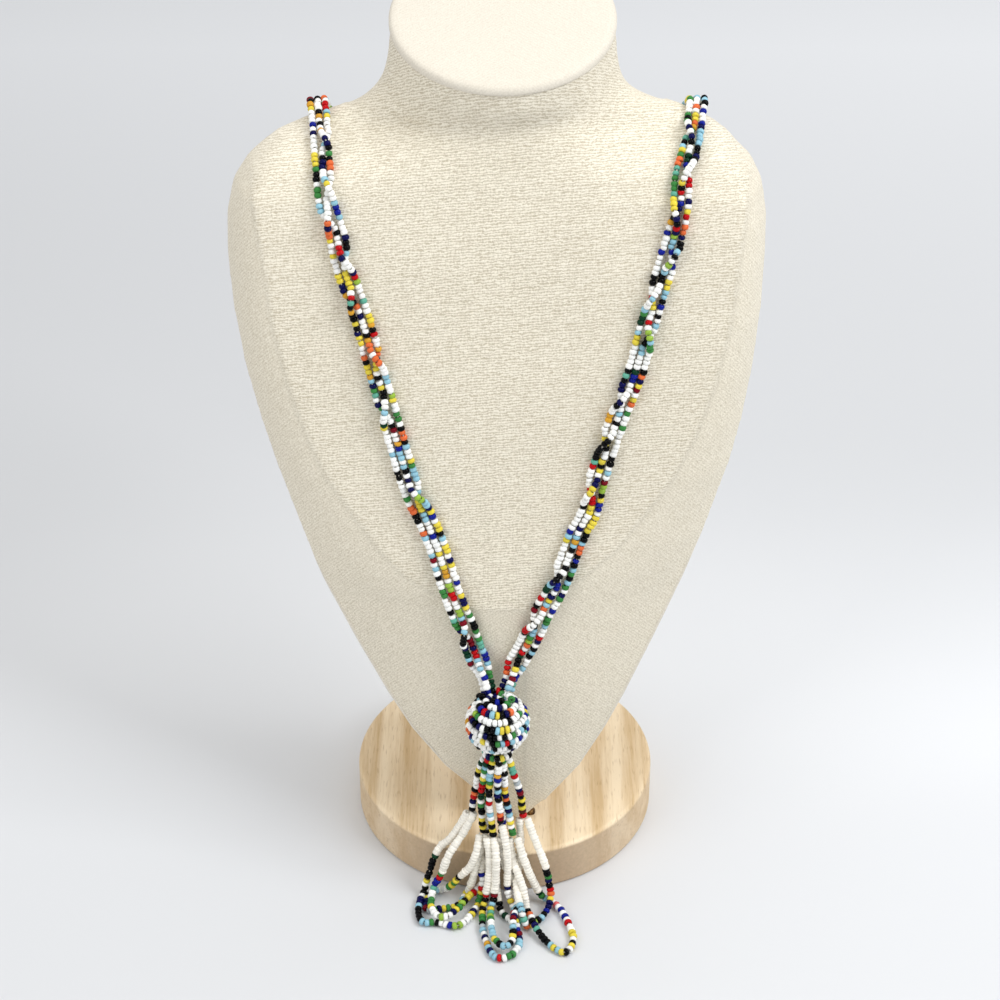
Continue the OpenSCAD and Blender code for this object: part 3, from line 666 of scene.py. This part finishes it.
def stringLine(who):
    line = smoothLine(necklaceRoute)
    run = runOf(line)
    total = run[-1]
    ahead = unit(np.gradient(line[:, :3], axis=0))
    turn, tilt = np.radians(line[:, 3]), np.radians(line[:, 4])
    away = np.stack([-np.sin(turn) * np.cos(tilt), -np.cos(turn) * np.cos(tilt), np.sin(tilt)], axis=1)
    away = unit(away - ahead * (away * ahead).sum(axis=1)[:, None])
    across = np.cross(ahead, away)
    lanes = list(necklace["firstLanes"])
    lane = np.full(len(run), float(lanes[who]))
    high = np.zeros(len(run))
    for place, over, under in crossings:
        place += total if place < 0 else 0
        before = lanes[who]
        lanes[over], lanes[under] = lanes[under], lanes[over]
        lane += (lanes[who] - before) * eased((run - place) / (2 * necklace["changeHalf"]) + 0.5)
        if who == over:
            hump = np.clip(np.abs(run - place) / necklace["humpHalf"], 0, 1)
            high = np.maximum(high, (1 + np.cos(hump * math.pi)) / 2)
    lane *= np.interp(line[:, 2], necklace["shoulderHeights"], [1, necklace["shoulderLane"]])
    toEnd = necklace["bunchEnd"] + necklace["bunch"] - np.minimum(run, total - run)
    bunching = 2 * np.clip(toEnd / necklace["bunch"], 0, 1)
    high = np.where(np.abs(lane) < necklace["middleLane"],
                    np.maximum(high, np.clip(bunching, 0, 1) * necklace["bunchLift"]), high)
    lane *= 1 - np.clip(bunching - 1, 0, 1) * (1 - necklace["bunchLanes"])
    return (line[:, :3] + across * (lane * necklace["lane"])[:, None]
            + away * (high * necklace["lift"] - necklace["press"])[:, None])


for who, (name, node) in enumerate((("beadStringA", "strand_a"), ("beadStringB", "strand_b"),
                                     ("beadStringC", "strand_c"))):
    dice = np.random.default_rng(necklace["seed"] + who)
    line = stringLine(who)
    centres, ahead = beadsAlong(line, necklace["pitch"])
    sizes = np.interp(centres[:, 2], necklace["shoulderHeights"], [1, necklace["shoulderSize"]])
    mesh = joinBeads(name, centres, ahead, threadedTones(len(centres), dice), dice, sizes)
    addPiece(name, withThreads(mesh, [line]), beadGlass, "beads", node)
    print(name, len(centres), "beads")

# the beaded ball

beadBall = {
    "centre": (-3, -55.65, 82.5), "radius": 10.95, "rows": 12, "spacing": 1.86, "size": 1.06,
    "extraWhite": 0.25,  # share of the uncharted beads that are made white
    "collarRadius": 12.55, "collarLean": 0.3,
    "core": 10.1, "coreTone": (0.3, 0.28, 0.24),
    "seed": 5,
}
# colours along the front of each row from the top, left to right
ballChart = ["nkbk", "wkwwnwgw", "kbrnsyknoww", "gwwwwwwkwwg", "nwkksyyw", "wnkkwkwgw", "ywkgsr"]
# collar where the strings go in: places to the right of and behind the ball's middle, mm, and colours
collar = [(-6.5, 3.2, "k"), (-5, 4.2, "n"), (-3.2, 4.6, "b"), (-1.4, 4.6, "k"), (0.4, 4.4, "r"),
          (2, 3.8, "k"), (-5.6, 1.8, "k"), (1.8, 2, "g"), (3.2, 2.6, "w"), (4.4, 1.2, "w"), (5.2, -0.4, "g")]


def ballBeads():
    dice = np.random.default_rng(beadBall["seed"])
    centre = np.array(beadBall["centre"])
    centres, ahead, tones = [], [], []
    for row in range(beadBall["rows"]):
        fall = (row + 0.5) * math.pi / beadBall["rows"]
        radius = beadBall["radius"] * math.sin(fall)
        count = max(4, round(math.tau * radius / beadBall["spacing"]))
        angles = math.tau * (np.arange(count) + 0.5 * (row % 2)) / count - math.pi / 2
        places, directions = ringOf(centre, radius, centre[2] + beadBall["radius"] * math.cos(fall), angles)
        centres.append(places)
        ahead.append(directions)
        rowTones = ["w" if dice.random() < beadBall["extraWhite"] else tone
                    for tone in threadedTones(count, dice)]
        chart = ballChart[row] if row < len(ballChart) else ""
        for k, tone in enumerate(chart):
            rowTones[(k - len(chart) // 2) % count] = tone
        tones += rowTones
    for side, behind, tone in collar:
        rise = math.sqrt(beadBall["collarRadius"] ** 2 - side ** 2 - behind ** 2)
        centres.append((centre + (side, behind, rise))[None])
        ahead.append(np.array([[behind, -side, beadBall["collarLean"]]]))
        tones.append(tone)
    return joinBeads("beadBall", np.vstack(centres), np.vstack(ahead), tones, dice, beadBall["size"])


def withCore(mesh):
    bm = bmesh.new()
    bm.from_mesh(mesh)
    strung = len(bm.verts)
    core = bmesh.ops.create_icosphere(bm, subdivisions=3, radius=beadBall["core"] * mm)["verts"]
    bmesh.ops.translate(bm, verts=core, vec=[c * mm for c in beadBall["centre"]])
    return finishBeads(mesh, bm, strung, beadBall["coreTone"])


addPiece("beadBall", withCore(ballBeads()), beadGlass, "beads", "bead_ball")
print("beaded ball ready")

# the tassel

tassel = {
    "pitch": 1.86, "size": 1.05,
    "clearance": 1.75,  # lowest that a thread runs over the table, mm
    "legTone": "i", "legPitch": 1.3, "legSize": 1.1, "legLoose": 0.3,
    "legPlace": 1.4, "legTuck": 1.0,  # mm between leg places under a stem, and of thread bare at the stem
    # the stems draw together below the ball, towards this middle and between these heights, mm
    "gather": 0.25, "gatherMiddle": (-3, -57.65), "gatherHeights": (45, 66),
    "knotCentre": (-3, -55.65), "knotRings": ((2.2, 68.6), (4.6, 68.3)),  # radius and height, mm
    "seed": 23,
}
stems = [
    [(-7, -54.5, 68.5), (-10, -55.5, 64.5), (-11.5, -55.5, 59), (-12, -56, 49), (-13, -57, 39.5)],
    [(-6.5, -57.5, 68.5), (-8.5, -58.5, 65), (-9, -58.5, 60), (-9.5, -58.5, 51), (-9, -59, 38),
     (-8.5, -59.5, 30.5)],
    [(-4.5, -59.5, 68.5), (-6, -60.5, 64), (-6.5, -60.5, 58.5), (-6.5, -61, 52), (-6, -61.5, 44),
     (-4.5, -62.5, 31.5)],
    [(-1.5, -59.5, 68.5), (-2.5, -61, 64), (-3, -61.5, 57), (-2.5, -61.5, 49), (-1.5, -61.5, 37)],
    [(0.5, -57.5, 68.5), (0, -59, 63.5), (0.5, -59.5, 57), (0, -59.5, 52), (1, -60, 44), (3, -61.5, 30.5)],
    [(1, -54.5, 68.5), (3, -56, 63.5), (4.5, -57, 58), (6, -57, 50), (6.5, -57, 43), (7, -57.5, 37)],
    [(-1.5, -52, 68.5), (-1.5, -53.5, 62), (-1, -53.5, 50), (-1, -55.5, 36), (-1.5, -58.5, 27)],
    [(-4.5, -52, 68.5), (-7, -53, 62), (-8, -53, 48), (-7.5, -54.5, 36), (-7.5, -57.5, 28)],
]
# colours at each stem's lower end, top to bottom
stemChart = ["nwk", "gkkwykyk", "rwwswykyk", "kwwwock", "oksnswywgg", "rwawnckykyxr", "", ""]
# each loop: the stem and leg place that it leaves and that it ends at, the ivory leg's length at each end,
# mm, the colours between them and the points
loops = [
    (0, -1, 7, -1, 25.3, 15.8, "dkkkkkywkkwnnskkkkssgkwwbllwwwynwyggyr",
     [(-18, -56.5, 31), (-21.5, -57, 25), (-25, -57, 21.5), (-27.5, -59, 18), (-30.5, -61.5, 9),
      (-32, -62.5, 2.8), (-33.5, -68, 1.5), (-34, -74, 1.5), (-32, -79.5, 1.5), (-26.5, -79.5, 1.5),
      (-19, -81.5, 1.5), (-14, -76.5, 1.5), (-10.5, -69, 2), (-9, -65.5, 9), (-9.5, -62.5, 16)]),
    (0, 1, 7, 1, 30.3, 16.4, "grbbtwwggywwwlwwnyglkyyr",
     [(-16.5, -59, 29.5), (-22, -63, 22), (-25, -64, 13), (-28, -64.5, 6.5), (-29, -69, 4.4),
      (-28, -76.5, 4.4), (-23.5, -79, 4.3), (-18.5, -74.5, 4.3), (-15, -69.5, 5.1), (-10.5, -64, 5.7),
      (-7.5, -61.5, 10), (-6.5, -62, 20)]),
    (1, -1, 1, 1, 22.1, 25.6, "kygygwwwsgkynncagnygyk",
     [(-11, -64.5, 26), (-13.5, -65.5, 18.5), (-18, -65, 12), (-22, -63.5, 5.5), (-26, -61, 1.6),
      (-30, -65.5, 1.9), (-30.5, -72.5, 1.5), (-25.5, -72, 1.5), (-18.5, -70, 1.6), (-15.5, -64, 2),
      (-13, -65, 10), (-10.5, -63, 21.5)]),
    (2, -2, 3, 0, 24.4, 27.5, "rkykyggkaswnwmsnssrwggwwssncbwyko",
     [(-6, -66, 23.5), (-6.5, -69, 14), (-8, -71.5, 5.5), (-9, -76, 1.7), (-8, -87, 1.5), (-5, -97, 1.5),
      (0, -99, 1.5), (4.5, -94.5, 1.6), (5.5, -88, 1.6), (4, -82, 4.3), (3.5, -74, 3.6), (1, -69.5, 9),
      (1, -67, 19), (0.5, -66, 29)]),
    (2, 0, 6, -1, 24.6, 19.1, "cksytlgwwsssygkssk",
     [(-3.5, -68, 25), (-4, -70.5, 11), (-5.5, -75, 4.3), (-5.5, -83, 4.3), (-4, -91.5, 4.3),
      (0, -95.5, 4.4), (3, -91, 4.3), (3, -84.5, 7), (5, -73.5, 6.5), (4, -67, 9.5), (-0.5, -64, 19)]),
    (2, 2, 6, 1, 29.1, 29.7, "kkwdwww",
     [(-4, -63.5, 21), (-3, -68, 8), (-1.5, -73.5, 2.2), (3, -79, 1.5), (7, -78, 1.7), (7, -71.5, 3.5),
      (4.5, -64.5, 7.5), (1.5, -62, 19)]),
    (4, 1, 4, -1, 26.9, 30.7, "dgsowpwbwbwrwwyywkywkysyskkkk",
     [(6.5, -65, 25), (10, -66.5, 14), (14, -66.5, 4.5), (18, -67.5, 1.6), (22, -73, 1.5), (25.5, -83, 1.5),
      (26, -91, 1.5), (22.5, -96, 1.5), (16.5, -91, 1.6), (11.5, -83.5, 4), (8.5, -75, 5), (7, -71, 12),
      (3, -64.5, 21)]),
    (5, 1, 5, -1, 22.6, 37.7, "kkgnkroynnbkskly",
     [(11, -60.5, 30), (15.5, -65, 19), (17, -65.5, 11), (18, -68.5, 5), (15.5, -75.5, 2.5), (9, -81.5, 1.6),
      (6.5, -80, 8), (4.5, -69, 11.5), (6, -60.5, 21)]),
]


def tasselBeads():
    dice = np.random.default_rng(tassel["seed"])
    centres, ahead, tones, sizes, looseness, lines = [], [], [], [], [], []

    def add(places, directions, chosen, size=1.0, loose=1.0):
        centres.append(places)
        ahead.append(directions)
        tones.extend(chosen)
        sizes.extend([tassel["size"] * size] * len(places))
        looseness.extend([loose] * len(places))

    def addLeg(line, start, stop):
        places, directions = beadsAlong(line, tassel["legPitch"], start, stop)
        add(places, directions, [tassel["legTone"]] * len(places), tassel["legSize"], tassel["legLoose"])

    for points, chart in zip(stems, stemChart):
        line = smoothLine(points)
        drawn = 1 - tassel["gather"] * np.interp(line[:, 2], tassel["gatherHeights"], [0, 1])
        for axis, middle in enumerate(tassel["gatherMiddle"]):
            line[:, axis] = middle + (line[:, axis] - middle) * drawn
        lines.append(line)
        places, directions = beadsAlong(line, tassel["pitch"])
        add(places, directions, threadedTones(len(places) - len(chart), dice) + list(chart))
    for fromStem, fromPlace, toStem, toPlace, fromLeg, toLeg, chart, points in loops:
        ends = [tuple(np.array(stems[stem][-1]) + (place * tassel["legPlace"], 0, 0))
                for stem, place in ((fromStem, fromPlace), (toStem, toPlace))]
        line = smoothLine([ends[0], *points, ends[1]])
        line[:, 2] = np.maximum(line[:, 2], tassel["clearance"])
        lines.append(line)
        total = runOf(line)[-1]
        addLeg(line, tassel["legTuck"], fromLeg)
        places, directions = beadsAlong(line, tassel["pitch"], fromLeg, total - toLeg)
        add(places, directions, threadedTones(len(places), dice, chart))
        addLeg(line, total - toLeg, total - tassel["legTuck"])
    for radius, height in tassel["knotRings"]:
        count = round(math.tau * radius / tassel["pitch"])
        angles = math.tau * np.arange(count) / count
        places, directions = ringOf(tassel["knotCentre"], radius, height, angles)
        add(places, directions, threadedTones(count, dice))
    mesh = joinBeads("tasselBeads", np.vstack(centres), np.vstack(ahead), tones, dice, np.array(sizes),
                     np.array(looseness))
    print("tassel", len(tones), "beads")
    return withThreads(mesh, lines)


addPiece("tasselBeads", tasselBeads(), beadGlass, "beads", "tassel")

# turned wood and the stud

turnedWood = {
    "early": (246, 225, 192), "late": (212, 182, 138), "pore": (168, 130, 84), "endGrain": (186, 162, 133),
    "grainTurn": 3,  # degrees
    # each pattern's scale, and how much it is drawn out along the board and its height
    "rings": 15.625, "ringWaver": 7.0, "streaks": 420.0, "grainStretch": (1, 0.045, 0.3),
    "pores": 1300.0, "poreStretch": (1, 0.11, 0.5), "poreLimits": (0.58, 0.72), "poreShare": 0.4,
    "streakShare": 0.72, "lateAt": 0.3, "earlyAt": 0.62,
    "rimTop": 19.2, "rimFull": 18.2,  # mm: the end grain starts at the upper height
    # share of end grain at the sides, and from this squared distance, m2, at the front and back
    "endGrainShares": (0.1, 0.95), "endGrainReach": 0.0029,
    "endGrainDrift": (800.0, 0.4), "drift": (14.0, 0.14),
    "finish": {"Roughness": 0.5, "Specular IOR Level": 0.35}, "bump": 0.15, "bumpDepth": 0.3,
}
darkBrass = {
    "dark": (70, 50, 30), "light": (134, 100, 60), "darkAt": 0.35, "lightAt": 0.65,
    "wear": 500.0, "drift": (120.0, 0.2), "finish": {"Metallic": 0.9}, "roughness": (0.25, 0.5),
}


def woodMaterial():
    material, tree, shader = newMaterial("beechWood", turnedWood["finish"])
    place = objectPlace(tree)
    board = setNode(tree, "ShaderNodeMapping", {"Vector": place, "Scale": turnedWood["grainStretch"],
                                                "Rotation": (0, 0, math.radians(turnedWood["grainTurn"]))})
    bands = setNode(tree, "ShaderNodeTexWave",
                    {"Vector": board.outputs[0], "Scale": turnedWood["rings"],
                     "Distortion": turnedWood["ringWaver"], "Detail": 3.0, "Detail Scale": 2.0},
                    bands_direction="X")
    streaks = noiseOf(tree, board.outputs[0], turnedWood["streaks"], 4.0, 0.65)
    grain = rampOf(tree, blended(tree, turnedWood["streakShare"], bands.outputs["Fac"], streaks),
                   (turnedWood["lateAt"], turnedWood["late"]), (turnedWood["earlyAt"], turnedWood["early"]))
    shortGrain = setNode(tree, "ShaderNodeMapping", {"Vector": place, "Scale": turnedWood["poreStretch"]})
    fibres = noiseOf(tree, shortGrain.outputs[0], turnedWood["pores"], 2.0)
    pores = ranged(tree, fibres, turnedWood["poreLimits"], (0, turnedWood["poreShare"]))
    topTone = blendedTone(tree, pores, grain, (*toLinear(turnedWood["pore"]), 1))
    # the rim below the rounded top edge is browner end grain, most at the front and back
    parts = setNode(tree, "ShaderNodeSeparateXYZ", {"Vector": place}).outputs
    below = ranged(tree, parts["Z"], (turnedWood["rimTop"] * mm, turnedWood["rimFull"] * mm))
    frontness = mathOf(tree, "MULTIPLY", parts["Y"], parts["Y"])
    endShare = ranged(tree, frontness, (0, turnedWood["endGrainReach"]), turnedWood["endGrainShares"])
    endGrain = drifted(tree, toLinear(turnedWood["endGrain"]), turnedWood["endGrainDrift"])
    tone = blendedTone(tree, mathOf(tree, "MULTIPLY", below, endShare), topTone, endGrain)
    tree.links.new(drifted(tree, tone, turnedWood["drift"]), shader.inputs["Base Color"])
    addBump(tree, shader, fibres, turnedWood["bump"], turnedWood["bumpDepth"])
    return material


def brassMaterial():
    material, tree, shader = newMaterial("darkBrass", darkBrass["finish"])
    worn = noiseOf(tree, objectPlace(tree), darkBrass["wear"], 3.0)
    tone = rampOf(tree, worn, (darkBrass["darkAt"], darkBrass["dark"]),
                  (darkBrass["lightAt"], darkBrass["light"]))
    tree.links.new(drifted(tree, tone, darkBrass["drift"]), shader.inputs["Base Color"])
    tree.links.new(ranged(tree, worn, target=darkBrass["roughness"]), shader.inputs["Roughness"])
    return material


def dress(nodeName, material):
    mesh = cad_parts[nodeName].data
    if not mesh.materials:
        mesh.materials.append(material)
    for slot in range(len(mesh.materials)):
        mesh.materials[slot] = material


beech = woodMaterial()
dress("base", beech)
dress("post", beech)
dress("tip_stud", brassMaterial())
print("wood and stud dressed")
